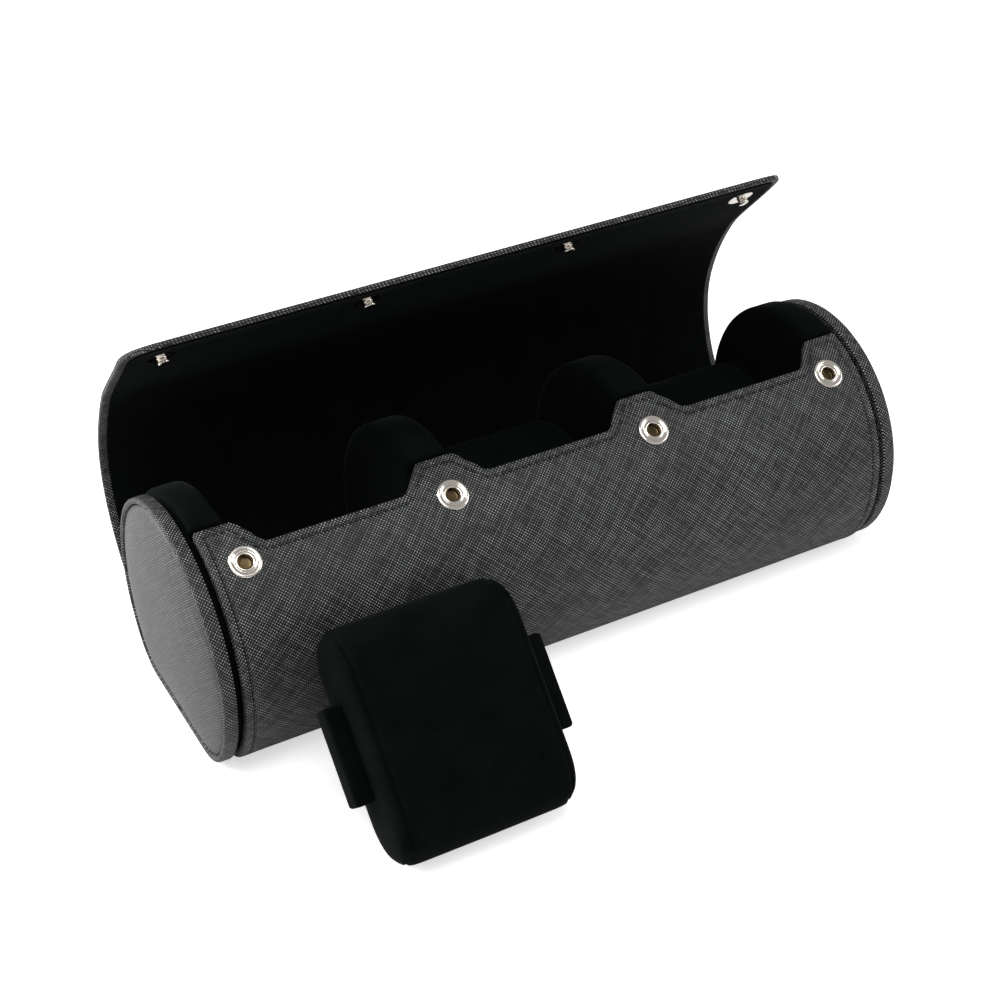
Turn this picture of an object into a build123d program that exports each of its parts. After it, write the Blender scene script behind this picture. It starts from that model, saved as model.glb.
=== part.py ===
from build123d import *
from math import asin, ceil, cos, degrees, hypot, radians, sin, sqrt
import os

os.makedirs("parts", exist_ok=True)

# A roll-shaped watch travel case, drawn with its lid open.
# X runs along the roll, -Y is the front with the snap tabs, +Z is up.
# The origin is the middle of the flat base. All sizes are in millimetres.

# ---- End outline of the case: a circle with a flat base and a slightly raised crown
case_radius = 40.0
base_half_width = 0.455 * case_radius
base_corner_radius = 0.42 * case_radius
crown_rise = 2.0

# ---- Lengths along the roll
compartment_width = 57.0
divider = 13.0
end_block = 12.0
end_groove = 2.0
lid_overhang = 2.5

# ---- Walls of the body
leather = 1.0
board = 2.0
lining = 0.6
glue_gap = 0.1

# ---- Front edge of the body and its snap tabs, with angles from the top towards the front
edge_angle = 27.0
tab_angle = 13.8
tab_top_width = 11.6
tab_base_width = 26.0
tab_corner_radius = 3.0
end_tab_width = 11.7
end_tab_slope = 6.2

# ---- End caps: a board, a foam crown and a leather face, held in a leather band
end_board = 2.0
end_foam_rim = 0.8
end_face = 1.0
end_face_crown = 3.2
end_band = 0.9
end_band_recess = 0.6
end_band_lip = 0.4

# ---- Inner blocks and dividers
block_proud = 0.4
block_gap = 0.3
pocket_web = 1.6

# ---- Lid: leather over a stiffener over a velvet lining, in four lengths that bend at creases
lid_gap = 0.8
lid_lining = 0.5
lid_board = 0.9
lid_leather = 0.8
crease_gap = 0.3
root_share = 0.277
back_share = 0.306
crown_share = 0.233
flap_past_snap = 14.0
flap_corner_radius = 9.0
root_open_angle = 31.5
back_open_angle = 2.5
crown_open_angle = 15.0
flap_open_angle = 35.0
welt_width = 9.6
welt_floor_gap = 0.2

# ---- Snap fasteners
snap_angle = 33.3
snap_inner_x = 33.9
snap_end_inset = 10.4
socket_flange_radius = 4.8
socket_flange = 0.55
socket_seat = 0.25
socket_barrel_radius = 3.0
socket_hole_radius = 2.15
socket_back_radius = 4.2
socket_back = 0.5
spring_wire_radius = 0.15
spring_opening = 1.2
spring_depth = 0.4
stud_flange_radius = 4.5
stud_flange = 0.7
stud_neck_radius = 1.4
stud_neck = 1.0
stud_head_radius = 1.8
stud_head = 1.5
stud_head_rounding = 0.5
stud_back_radius = 3.6
stud_back = 0.6
snap_edge_rounding = 0.15
snap_fit = 0.1

# ---- Watch pillows: a foam roll in a velvet cover, with padded ends and a wing on each end
pillow_thickness = 29.0
pillow_wall_gap = 1.4
pillow_side_gap = 0.3
pillow_rise = 0.3
pillow_crown = 1.0
pillow_cover = 1.6
pillow_end = 2.2
pillow_end_rounding = 1.4
wing_length = 28.0
wing_thickness = 8.0
wing_tip_gap = 0.6
wing_rounding = 1.2
wing_gap = 0.3
loose_pillow_x = -61.0
loose_pillow_tilt = 45.0
loose_pillow_gap = 0.3

# ---- Values that follow from the sizes above
corner_reach = case_radius - base_corner_radius
corner_turn = degrees(asin(sqrt(corner_reach**2 - base_half_width**2) / corner_reach))
circle_height = base_corner_radius + corner_reach * sin(radians(corner_turn))
crown_height = circle_height + crown_rise
hinge_angle = 90 + corner_turn
wall = leather + board + lining
compartment_pitch = compartment_width + divider
block_inner_x = compartment_pitch + compartment_width / 2
cap_x = block_inner_x + end_block
panel_half_length = cap_x - end_groove
lid_half_length = panel_half_length + lid_overhang
lid_outer = lid_gap + lid_lining + lid_board + lid_leather
snap_outer_x = panel_half_length - snap_end_inset
snap_spots = [(x, 0, 0) for x in (-snap_outer_x, -snap_inner_x, snap_inner_x, snap_outer_x)]
far = 3 * case_radius


# ---- Shapes that several pieces share


def case_outline(growth, mode=Mode.ADD):
    """Face of the case's end outline, grown outwards by growth."""
    side = case_radius + growth
    corner = base_corner_radius + growth
    with BuildLine() as edge:
        Line((-base_half_width, -growth), (base_half_width, -growth))
        CenterArc((base_half_width, base_corner_radius), corner, -90, 90 - corner_turn)
        CenterArc((0, circle_height), side, -corner_turn, corner_turn)
        Line((side, circle_height), (side, crown_height))
        CenterArc((0, crown_height), side, 0, 180)
        Line((-side, crown_height), (-side, circle_height))
        CenterArc((0, circle_height), side, 180, corner_turn)
        CenterArc((-base_half_width, base_corner_radius), corner, 180 + corner_turn, 90 - corner_turn)
    make_face(edge.edges(), mode=mode)


def ray_point(height, angle, reach):
    """Point at a reach from the middle at a height, at an angle from the top towards the rear."""
    return (reach * sin(radians(angle)), height + reach * cos(radians(angle)))


def sector(first, last):
    """Keeps what lies between two rays, each given by the height of its centre and its angle."""
    steps = ceil(abs(last[1] - first[1]) / 60)
    turn = (last[1] - first[1]) / steps
    points = [ray_point(first[0], first[1] + turn * i, far) for i in range(steps)]
    points += [ray_point(*last, far), (0, last[0])]
    if first[0] != last[0]:
        points.append((0, first[0]))
    with BuildLine() as edge:
        Polyline(*points, close=True)
    make_face(edge.edges(), mode=Mode.INTERSECT)


def shell(inner, outer, first, last):
    """Section of a wall between two growths of the case outline and two rays."""
    case_outline(outer)
    case_outline(inner, mode=Mode.SUBTRACT)
    sector(first, last)


def tangent_plane(frame, angle, growth):
    """Plane that touches the crown circle, in a frame across the roll, with its normal outwards."""
    y, z = ray_point(crown_height, angle, case_radius + growth)
    along_y, along_z = sin(radians(angle)), cos(radians(angle))
    normal = frame.x_dir * along_y + frame.y_dir * along_z
    return Plane(origin=frame.from_local_coords((y, z, 0)), x_dir=frame.z_dir, z_dir=normal)


def turned(frame, point, angle):
    """A frame across the roll, turned about a point of its own, counted from its first axis to its second."""
    x_dir = frame.x_dir.rotate(Axis.X, angle)
    pivot = Plane(origin=frame.from_local_coords((*point, 0)), x_dir=x_dir, z_dir=frame.z_dir)
    origin = pivot.from_local_coords((-point[0], -point[1], 0))
    return Plane(origin=origin, x_dir=x_dir, z_dir=frame.z_dir)


def save(part, name):
    """Labels a finished piece and writes it."""
    part.label = name
    export_step(part, f"parts/{name}.step")


# ---- Body walls: leather outside, board between, velvet inside, from the front edge to the hinge

body_rays = (circle_height, -tab_angle / 2), (circle_height, hinge_angle - 360)
tab_middle = (edge_angle + tab_angle) / 2
tab_plane = tangent_plane(Plane.YZ, -tab_middle, 0)
tab_height = case_radius * sin(radians(edge_angle - tab_middle))
snap_plane = tangent_plane(Plane.YZ, -snap_angle, 0)


def trim_front_edge():
    """Cuts the wall's front edge to its four tabs."""
    end_tab_top = panel_half_length - end_tab_width
    right = [
        (snap_inner_x - tab_base_width / 2, -tab_height),
        (snap_inner_x - tab_top_width / 2, tab_height),
        (snap_inner_x + tab_top_width / 2, tab_height),
        (snap_inner_x + tab_base_width / 2, -tab_height),
        (end_tab_top - end_tab_slope, -tab_height),
        (end_tab_top, tab_height),
        (far, tab_height),
        (far, case_radius),
    ]
    left = [(-x, y) for x, y in reversed(right)]
    with BuildSketch(tab_plane.offset(-case_radius / 2)) as cut:
        with BuildLine():
            Polyline(*left, *right, close=True)
        make_face()
        fillet([v for v in cut.vertices() if abs(v.X) < panel_half_length], tab_corner_radius)
    extrude(cut.sketch, amount=case_radius, mode=Mode.SUBTRACT)


def bore_wall(radius):
    """Opens the four snap holes through a body wall."""
    with BuildSketch(snap_plane.offset(-2 * wall)) as holes:
        with Locations(*[spot[:2] for spot in snap_spots]):
            Circle(radius)
    extrude(holes.sketch, amount=4 * wall, mode=Mode.SUBTRACT)


with BuildPart() as body_leather:
    with BuildSketch(Plane.YZ.offset(-panel_half_length)):
        shell(-leather, 0, *body_rays)
    extrude(amount=2 * panel_half_length)
    trim_front_edge()
    bore_wall(socket_barrel_radius + snap_fit)
    with BuildSketch(snap_plane.offset(-socket_seat)):
        with Locations(*[spot[:2] for spot in snap_spots]):
            Circle(socket_flange_radius + snap_fit)
    extrude(amount=wall, mode=Mode.SUBTRACT)
save(body_leather.part, "body_leather")

with BuildPart() as body_board:
    with BuildSketch(Plane.YZ.offset(-panel_half_length)):
        shell(-leather - board, -leather, *body_rays)
    extrude(amount=2 * panel_half_length)
    trim_front_edge()
    bore_wall(socket_back_radius + snap_fit)
save(body_board.part, "body_board")

with BuildPart() as body_lining:
    with BuildSketch(Plane.YZ.offset(-panel_half_length)):
        shell(-wall, -leather - board, *body_rays)
    extrude(amount=2 * panel_half_length)
    trim_front_edge()
save(body_lining.part, "body_lining")

# ---- Hinge welt: the fold of leather that carries the lid along the bottom of the back

crease_half_turn = degrees(crease_gap / 2 / (case_radius + lid_outer))

with BuildPart() as hinge_welt:
    with BuildSketch(Plane.YZ.offset(-lid_half_length)):
        shell(glue_gap, lid_outer, (circle_height, 180), (circle_height, hinge_angle + crease_half_turn))
        with Locations((ray_point(circle_height, hinge_angle, case_radius)[0], welt_floor_gap)):
            Rectangle(2 * welt_width, case_radius, align=(Align.CENTER, Align.MIN), mode=Mode.INTERSECT)
    extrude(amount=2 * lid_half_length)
save(hinge_welt.part, "hinge_welt")

# ---- End blocks and dividers: velvet-covered blocks that stand in the body and stay round on top

inner_growth = -wall - glue_gap
tab_inner_turn = degrees(asin((tab_height + block_gap) / (case_radius - wall)))
block_front = (crown_height, tab_inner_turn - tab_middle)
block_rear = (circle_height, hinge_angle - degrees(block_gap / case_radius))
pillow_seat_height = crown_height + pillow_rise
wing_pocket_radius = hypot(wing_length / 2, wing_thickness / 2) + wing_gap
wing_pocket_depth = (divider - pocket_web) / 2


def block(start_x, core_end_x, crown_end_x):
    """A block across the roll, slim where the body wall wraps it and full on its open crown."""
    for end_x, rays in ((core_end_x, ()), (crown_end_x, (block_front, block_rear))):
        with BuildSketch(Plane.YZ.offset(start_x)) as section:
            case_outline(block_proud if rays else inner_growth)
            if rays:
                case_outline(inner_growth, mode=Mode.SUBTRACT)
                sector(*rays)
        extrude(section.sketch, amount=end_x - start_x)


def wing_pocket(face_x, depth):
    """Sinks the round pocket in a block's face in which a pillow's wing turns."""
    with BuildSketch(Plane.YZ.offset(face_x)) as pocket:
        with Locations((0, pillow_seat_height)):
            Circle(wing_pocket_radius)
    extrude(pocket.sketch, amount=depth, mode=Mode.SUBTRACT)


with BuildPart() as end_block_right:
    block(block_inner_x, cap_x, panel_half_length)
    wing_pocket(block_inner_x, wing_pocket_depth)
save(end_block_right.part, "end_block_right")

with BuildPart() as end_block_left:
    mirror(end_block_right.part, about=Plane.YZ)
save(end_block_left.part, "end_block_left")

for name, middle_x in (("divider_left", -compartment_pitch / 2), ("divider_right", compartment_pitch / 2)):
    with BuildPart() as divider_block:
        block(middle_x - divider / 2, middle_x + divider / 2, middle_x + divider / 2)
        wing_pocket(middle_x - divider / 2, wing_pocket_depth)
        wing_pocket(middle_x + divider / 2, -wing_pocket_depth)
    save(divider_block.part, name)

# ---- End caps

cap_growth = -end_band_recess - end_band
cap_radius = case_radius + cap_growth
dome_radius = (cap_radius**2 + end_face_crown**2) / (2 * end_face_crown)
dome_height = crown_height - crown_rise / 2
face_rim_x = cap_x + end_board + end_foam_rim + end_face


def dome(rim_x):
    """A padded crown that bulges out of the end board, whose rim is at rim_x."""
    with BuildSketch(Plane.YZ.offset(cap_x + end_board)) as rim:
        case_outline(cap_growth)
    extrude(rim.sketch, amount=end_face + 2 * end_face_crown)
    with Locations((rim_x + end_face_crown - dome_radius, 0, dome_height)):
        Sphere(dome_radius, rotation=(0, 0, 180), mode=Mode.INTERSECT)


with BuildPart() as end_board_right:
    with BuildSketch(Plane.YZ.offset(cap_x)):
        case_outline(cap_growth)
    extrude(amount=end_board)

with BuildPart() as end_foam_right:
    dome(face_rim_x - end_face)

with BuildPart() as end_face_right:
    dome(face_rim_x)
    add(end_foam_right.part, mode=Mode.SUBTRACT)

with BuildPart() as end_band_right:
    with BuildSketch(Plane.YZ.offset(cap_x)):
        case_outline(-end_band_recess)
        case_outline(cap_growth, mode=Mode.SUBTRACT)
    extrude(amount=face_rim_x - cap_x + end_band_lip)

end_pieces = {
    "end_board": end_board_right,
    "end_foam": end_foam_right,
    "end_face": end_face_right,
    "end_band": end_band_right,
}
for name, piece in end_pieces.items():
    with BuildPart() as mirrored:
        mirror(piece.part, about=Plane.YZ)
    save(piece.part, f"{name}_right")
    save(mirrored.part, f"{name}_left")

# ---- Snap sockets in the front wall

socket_bottom = leather + board - socket_back

with BuildPart(snap_plane) as snap_sockets:
    with Locations(*snap_spots):
        with Locations((0, 0, -socket_seat)):
            Cylinder(socket_flange_radius, socket_flange, align=(Align.CENTER, Align.CENTER, Align.MIN))
    rims = snap_sockets.edges().filter_by(GeomType.CIRCLE)
    fillet(rims, snap_edge_rounding)
    with Locations(*snap_spots):
        with Locations((0, 0, -socket_bottom)):
            Cylinder(socket_barrel_radius, socket_bottom, align=(Align.CENTER, Align.CENTER, Align.MIN))
            Cylinder(socket_hole_radius, 2 * wall, mode=Mode.SUBTRACT)
save(snap_sockets.part, "snap_sockets")

with BuildPart(snap_plane.offset(-socket_bottom)) as snap_socket_backs:
    with Locations(*snap_spots):
        Cylinder(socket_back_radius, socket_back, align=(Align.CENTER, Align.CENTER, Align.MAX))
save(snap_socket_backs.part, "snap_socket_backs")

with BuildPart(snap_plane.offset(-spring_depth)) as snap_springs:
    spring_radius = socket_hole_radius - spring_wire_radius - snap_fit / 5
    with Locations(*snap_spots):
        Torus(spring_radius, spring_wire_radius)
        with Locations((0, spring_radius, 0)):
            Box(spring_opening, spring_radius, 4 * spring_wire_radius, mode=Mode.SUBTRACT)
save(snap_springs.part, "snap_springs")

# ---- Lid: its closed shape follows the case outline, and each length is turned open about its crease

lid_radius = case_radius + lid_outer
lower_arc = radians(corner_turn) * lid_radius
snap_arc = lower_arc + crown_rise + radians(90 + snap_angle) * lid_radius


def lid_ray(arc):
    """Ray through the closed lid at a length of arc from its hinge, along its outer face."""
    if arc < lower_arc:
        return circle_height, hinge_angle - degrees(arc / lid_radius)
    return crown_height, 90 - degrees((arc - lower_arc - crown_rise) / lid_radius)


lid_names = ("root", "back", "crown", "flap")
lid_openings = (root_open_angle, back_open_angle, crown_open_angle, flap_open_angle)
lid_arc = snap_arc + flap_past_snap
crease_shares = (0, root_share, root_share + back_share, root_share + back_share + crown_share)
creases = [share * lid_arc for share in crease_shares]
lid_ends = creases[1:] + [lid_arc]
lid_layers = {
    "lining": (lid_gap, lid_gap + lid_lining),
    "board": (lid_gap + lid_lining, lid_outer - lid_leather),
    "leather": (lid_outer - lid_leather, lid_outer),
}

lid_frames = []
open_frame = Plane.YZ
for name, crease, opening in zip(lid_names, creases, lid_openings):
    crease_point = ray_point(*lid_ray(crease), lid_radius)
    crease_place = open_frame.from_local_coords((*crease_point, 0))
    print(f"{name} crease at y {crease_place.Y:.4f}, z {crease_place.Z:.4f}, closes by {opening} degrees")
    open_frame = turned(open_frame, crease_point, -opening)
    lid_frames.append(open_frame)

flap_frame = lid_frames[-1]
flap_middle = (creases[-1] + lid_ends[-1]) / 2
flap_plane = tangent_plane(flap_frame, lid_ray(flap_middle)[1], 0)
flap_tip = lid_radius * sin((lid_ends[-1] - flap_middle) / lid_radius)
stud_plane = tangent_plane(flap_frame, -snap_angle, lid_gap + lid_lining - stud_flange)


def round_flap():
    """Rounds the two free corners of the lid's flap."""
    with BuildSketch(flap_plane.offset(-case_radius / 2)) as flap_shape:
        with Locations((0, -flap_tip)):
            Rectangle(2 * lid_half_length, case_radius, align=(Align.CENTER, Align.MIN))
        fillet(flap_shape.vertices().group_by(Axis.Y)[0], flap_corner_radius)
    extrude(flap_shape.sketch, amount=case_radius, mode=Mode.INTERSECT)


for name, frame, start, end in zip(lid_names, lid_frames, creases, lid_ends):
    for layer, (inner, outer) in lid_layers.items():
        with BuildPart() as lid_piece:
            with BuildSketch(frame.offset(-lid_half_length)):
                shell(inner, outer, lid_ray(end - crease_gap / 2), lid_ray(start + crease_gap / 2))
            extrude(amount=2 * lid_half_length)
            if name == "flap":
                round_flap()
            if name == "flap" and layer != "leather":
                with BuildSketch(stud_plane.offset(-lid_outer)):
                    with Locations(*[spot[:2] for spot in snap_spots]):
                        Circle(stud_flange_radius + snap_fit)
                extrude(amount=3 * lid_outer, mode=Mode.SUBTRACT)
        save(lid_piece.part, f"lid_{name}_{layer}")

# ---- Snap studs on the lid's flap

with BuildPart(stud_plane) as snap_studs:
    with Locations(*snap_spots):
        with Locations((0, 0, -stud_neck)):
            Cylinder(stud_head_radius, stud_head, align=(Align.CENTER, Align.CENTER, Align.MAX))
    fillet(snap_studs.edges().filter_by(GeomType.CIRCLE), stud_head_rounding)
    with Locations(*snap_spots):
        Cylinder(stud_flange_radius, stud_flange, align=(Align.CENTER, Align.CENTER, Align.MIN))
        Cylinder(stud_neck_radius, stud_neck + stud_head / 2, align=(Align.CENTER, Align.CENTER, Align.MAX))
save(snap_studs.part, "snap_studs")

with BuildPart(stud_plane.offset(stud_flange)) as snap_stud_backs:
    with Locations(*snap_spots):
        Cylinder(stud_back_radius, stud_back, align=(Align.CENTER, Align.CENTER, Align.MIN))
save(snap_stud_backs.part, "snap_stud_backs")

# ---- Watch pillows

pillow_length = 2 * (case_radius - wall - pillow_wall_gap)
pillow_half = compartment_width / 2 - pillow_side_gap
core_half = pillow_half - pillow_end
end_centre = (pillow_length - pillow_thickness) / 2
wing_reach = wing_pocket_depth + pillow_side_gap - wing_tip_gap


def across(seat, along):
    """Plane square to a pillow's roll, at a distance from its middle."""
    return Plane(origin=seat.from_local_coords((along, 0, 0)), x_dir=seat.y_dir, z_dir=seat.x_dir)


def build_pillow(seat, name):
    """A watch pillow in its seat: roll along the seat's X, broad face towards its Z."""
    with BuildPart() as core:
        with BuildSketch(across(seat, -core_half)):
            SlotOverall(pillow_length - 2 * pillow_cover, pillow_thickness - 2 * pillow_cover)
        extrude(amount=2 * core_half)
    save(core.part, f"{name}_core")

    with BuildPart() as cover:
        for share in (-1, 0, 1):
            draw_in = 2 * pillow_crown * share**2
            with BuildSketch(across(seat, share * core_half)):
                SlotOverall(pillow_length - draw_in, pillow_thickness - draw_in)
        loft()
        add(core.part, mode=Mode.SUBTRACT)
    save(cover.part, f"{name}_cover")

    with BuildPart() as ends:
        for side in (-1, 1):
            with BuildSketch(across(seat, side * core_half)):
                SlotOverall(pillow_length - 2 * pillow_crown, pillow_thickness - 2 * pillow_crown)
            extrude(amount=side * pillow_end)
            outer_face = ends.faces().sort_by(Axis.X)[-1 if side > 0 else 0]
            fillet(outer_face.edges(), pillow_end_rounding)
    save(ends.part, f"{name}_ends")

    with BuildPart() as wings:
        for side in (-1, 1):
            with BuildSketch(across(seat, side * pillow_half)):
                RectangleRounded(wing_length, wing_thickness, wing_rounding)
            extrude(amount=side * wing_reach)
            outer_face = wings.faces().sort_by(Axis.X)[-1 if side > 0 else 0]
            fillet(outer_face.edges(), wing_rounding / 2)
    save(wings.part, f"{name}_wings")


# One pillow leans on the front wall, with its lower end at the level of the flat base.
lean = radians(loose_pillow_tilt)
loose_low_z = pillow_thickness / 2 + loose_pillow_gap
loose_top_z = loose_low_z + 2 * end_centre * sin(lean)
loose_top_reach = case_radius + pillow_thickness / 2 + loose_pillow_gap
loose_top_y = -sqrt(loose_top_reach**2 - (loose_top_z - crown_height) ** 2)
loose_seat = Plane(
    origin=(loose_pillow_x, loose_top_y - end_centre * cos(lean), loose_top_z - end_centre * sin(lean)),
    x_dir=(1, 0, 0),
    z_dir=(0, -sin(lean), cos(lean)),
)
print(f"loose pillow middle at {tuple(round(v, 4) for v in loose_seat.origin)}")

build_pillow(loose_seat, "loose_pillow")
build_pillow(Plane.XY.offset(pillow_seat_height), "middle_pillow")
right_seat = Plane(origin=(compartment_pitch, 0, pillow_seat_height))
build_pillow(right_seat, "right_pillow")

print(f"hinge angle {hinge_angle:.3f}, snap arc {snap_arc:.2f}, lid length {lid_ends[-1]:.2f}")
print(f"case height {crown_height + case_radius:.2f}, panel half length {panel_half_length}, lid {lid_half_length}")
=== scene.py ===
# %% [markdown]
# A roll-shaped watch travel case, dressed for its picture.
# The imported case gives every size and place. It is loaded once and never moved, and each new
# piece is built in the same place, in metres; most pieces ride on one of its bodies.

# %% Load the imported case
from math import atan2, cos, hypot, pi, radians, sin, tan

import bmesh
import bpy
from mathutils import Matrix, Vector


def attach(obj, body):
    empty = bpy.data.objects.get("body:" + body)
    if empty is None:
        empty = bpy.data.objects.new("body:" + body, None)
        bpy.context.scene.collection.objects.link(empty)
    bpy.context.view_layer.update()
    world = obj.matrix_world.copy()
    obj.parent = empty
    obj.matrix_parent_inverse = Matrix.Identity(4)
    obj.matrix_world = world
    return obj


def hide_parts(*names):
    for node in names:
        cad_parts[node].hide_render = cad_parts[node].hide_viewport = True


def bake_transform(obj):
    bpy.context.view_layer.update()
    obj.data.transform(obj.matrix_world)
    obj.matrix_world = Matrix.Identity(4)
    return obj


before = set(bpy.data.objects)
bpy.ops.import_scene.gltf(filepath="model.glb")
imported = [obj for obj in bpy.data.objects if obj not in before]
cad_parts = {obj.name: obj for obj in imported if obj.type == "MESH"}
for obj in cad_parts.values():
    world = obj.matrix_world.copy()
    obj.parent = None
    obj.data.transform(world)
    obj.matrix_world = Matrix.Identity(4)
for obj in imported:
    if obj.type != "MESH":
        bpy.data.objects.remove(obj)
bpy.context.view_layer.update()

bpy.ops.object.select_all(action="DESELECT")

# %% [markdown]
# The end of the case is not a plain circle: it has a flat base with soft corners and a slightly
# raised crown. A road of straights and bends that runs once round it, starting at the middle of
# the crown and going down the front, gives the place of any point on the wall. A second road runs
# outside it, under the lid's outer face. Working along a road lets leather be cut flat, as it is
# on the real case, and be laid round the case afterwards.

# %% Two roads round the case
mm = 0.001
case_radius = 40 * mm
corner_radius = 16.8 * mm
base_width = 36.4 * mm
crown_rise = 2 * mm
crown_height = 33.1875 * mm  # of the middle of the crown's bend
lid_growth = 3 * mm
corner_turn = radians(51.673)
side_turn = radians(38.327)
wall_end = 108.5 * mm
lid_end = 111 * mm
past_tip = 200 * mm


def round_end(growth):
    """Runs of (length, bend radius) from the end of the flat base, up the rear and to the top."""
    side, corner = case_radius + growth, corner_radius + growth
    base_corner, lower_side = (corner_turn * corner, corner), (side_turn * side, side)
    return [base_corner, lower_side, (crown_rise, 0), (pi / 2 * side, side)]


half_way = round_end(0)
case_road = {
    "start": (0, crown_height + case_radius, pi),
    "runs": half_way[::-1] + [(base_width, 0)] + half_way,
}
lid_road = {
    "start": (base_width / 2, -lid_growth, 0),
    "runs": round_end(lid_growth) + [(past_tip, case_radius + lid_growth)],
}
rear_hinge = sum(run[0] for run in case_road["runs"][:6])
once_round = sum(run[0] for run in case_road["runs"])
lid_hinge = lid_road["runs"][0][0]


def follow(road, along, height):
    """Place (y, z) at a length along a road, at a height on its outer side."""
    y, z, heading = road["start"]
    for length, radius in road["runs"]:
        step = min(along, length)
        turn = step / radius if radius else 0
        if radius:
            y += radius * (sin(heading + turn) - sin(heading))
            z -= radius * (cos(heading + turn) - cos(heading))
        else:
            y += step * cos(heading)
            z += step * sin(heading)
        heading += turn
        along -= step
        if along <= 0:
            break
    return y + height * sin(heading), z - height * cos(heading)


print("once round the case:", round(once_round / mm, 1), "mm; hinge at", round(rear_hinge / mm, 1))

# %% [markdown]
# Most pieces here are made in the same three moves. A filled circle is added and set to the first
# ring of points, it is extruded ring by ring, and the result is scored across so that it can bend.
# Extruding rings keeps a rounded edge, a hem and a sewn groove parallel to the outline, which a
# bevel on a finished block can't do round the small slopes of the front edge.

# %% Helpers for modelling


def take(*pieces):
    """Leaves only these pieces selected, the last one active."""
    bpy.ops.object.select_all(action="DESELECT")
    for piece in pieces:
        piece.select_set(True)
    bpy.context.view_layer.objects.active = pieces[-1]


def named(name):
    """Names the piece that was just added."""
    piece = bpy.context.object
    piece.name = piece.data.name = name
    return piece


def copy_of(piece, name):
    """A second piece with a mesh of its own."""
    twin = piece.copy()
    twin.data = piece.data.copy()
    twin.name = twin.data.name = name
    bpy.context.scene.collection.objects.link(twin)
    return twin


def modify(piece, kind, **settings):
    """Adds a modifier and applies it."""
    take(piece)
    modifier = piece.modifiers.new(kind.title(), kind)
    for key, value in settings.items():
        setattr(modifier, key, value)
    bpy.ops.object.modifier_apply(modifier=modifier.name)


def set_right(piece, angle=40):
    """Turns every face outwards and shades the piece smooth below an angle."""
    take(piece)
    bpy.ops.object.mode_set(mode="EDIT")
    bpy.ops.mesh.select_all(action="SELECT")
    bpy.ops.mesh.remove_doubles(threshold=1e-6)
    bpy.ops.mesh.normals_make_consistent(inside=False)
    bpy.ops.object.mode_set(mode="OBJECT")
    bpy.ops.object.shade_smooth_by_angle(angle=radians(angle))


def build_rings(name, rings):
    """Extrudes a filled circle ring by ring, each ring set to its own points."""
    bpy.ops.mesh.primitive_circle_add(vertices=len(rings[0]), fill_type="NGON")
    piece = named(name)
    for vertex, place in zip(piece.data.vertices, rings[0]):
        vertex.co = place
    order = {tuple(vertex.co): i for i, vertex in enumerate(piece.data.vertices)}
    bpy.ops.object.mode_set(mode="EDIT")
    bpy.ops.mesh.select_all(action="SELECT")
    for ring in rings[1:]:
        bpy.ops.mesh.extrude_region_move()
        moved = [v for v in bmesh.from_edit_mesh(piece.data).verts if v.select]
        after = {}
        for vertex in moved:
            i = order[tuple(vertex.co)]
            vertex.co = ring[i]
            after[tuple(vertex.co)] = i
        order = after
    bmesh.update_edit_mesh(piece.data)
    bpy.ops.object.mode_set(mode="OBJECT")
    return piece


def score(piece, axis, cuts):
    """Cuts edge loops across a piece at places along an axis."""
    take(piece)
    normal = Vector([float(i == axis) for i in range(3)])
    bpy.ops.object.mode_set(mode="EDIT")
    for cut in cuts:
        bpy.ops.mesh.select_all(action="SELECT")
        bpy.ops.mesh.bisect(plane_co=normal * cut, plane_no=normal)
    bpy.ops.object.mode_set(mode="OBJECT")


def move_points(piece, place):
    """Sends every point of a piece to its new place."""
    for vertex in piece.data.vertices:
        vertex.co = place(*vertex.co)
    piece.data.update()


def lay_pattern(piece, place):
    """Keeps each point's place on the flat pattern, in metres, as the piece's UV map."""
    while piece.data.uv_layers:
        piece.data.uv_layers.remove(piece.data.uv_layers[0])
    layer = piece.data.uv_layers.new(name="pattern")
    points = piece.data.vertices
    for loop in piece.data.loops:
        layer.data[loop.index].uv = place(*points[loop.vertex_index].co)


print("helpers ready")

# %% [markdown]
# A leather panel is cut flat with rounded corners. Its outline is kept as corner points, each with
# a radius, and can be drawn in by any distance. Pairing that distance with a height gives the
# section of the edge: turned over the board, pressed down along the seam, and flat inside it.

# %% Flat patterns


def drawn_in(corners, inset, steps=7):
    """An outline drawn in by an inset, with its corners rounded. Corners run anticlockwise."""
    points = []
    for i, (x, v, radius) in enumerate(corners):
        here = Vector((x, v))
        arriving = (here - Vector(corners[i - 1][:2])).normalized()
        leaving = (Vector(corners[(i + 1) % len(corners)][:2]) - here).normalized()
        turn = atan2(arriving.cross(leaving), arriving.dot(leaving))
        side = 1 if turn > 0 else -1
        in_a, in_b = Vector((-arriving.y, arriving.x)), Vector((-leaving.y, leaving.x))
        mitre = here + (in_a + in_b) * inset / (1 + in_a.dot(in_b))
        radius = max(radius - side * inset, 0.3 * mm)
        start = mitre - arriving * radius * tan(abs(turn) / 2)
        middle = start + in_a * radius * side
        for k in range(steps + 1):
            spoke = start - middle
            spoke.rotate(Matrix.Rotation(turn * k / steps, 2))
            points.append(middle + spoke)
    return points


def cut_panel(name, corners, section, first, last):
    """A flat panel from its corners and its edge section of (inset, height), scored across to bend."""
    rings = [[(*point, height) for point in drawn_in(corners, inset)] for inset, height in section]
    piece = build_rings(name, rings)
    rows = int((last - first) / (1.9 * mm))
    score(piece, 1, [-(first + (last - first) * i / rows) for i in range(1, rows)])
    set_right(piece)
    lay_pattern(piece, lambda x, v, h: (x + h, v + 0.6 * h))
    return piece


def section_of(*pairs):
    """An edge section, given in millimetres."""
    return [(inset * mm, height * mm) for inset, height in pairs]


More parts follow.
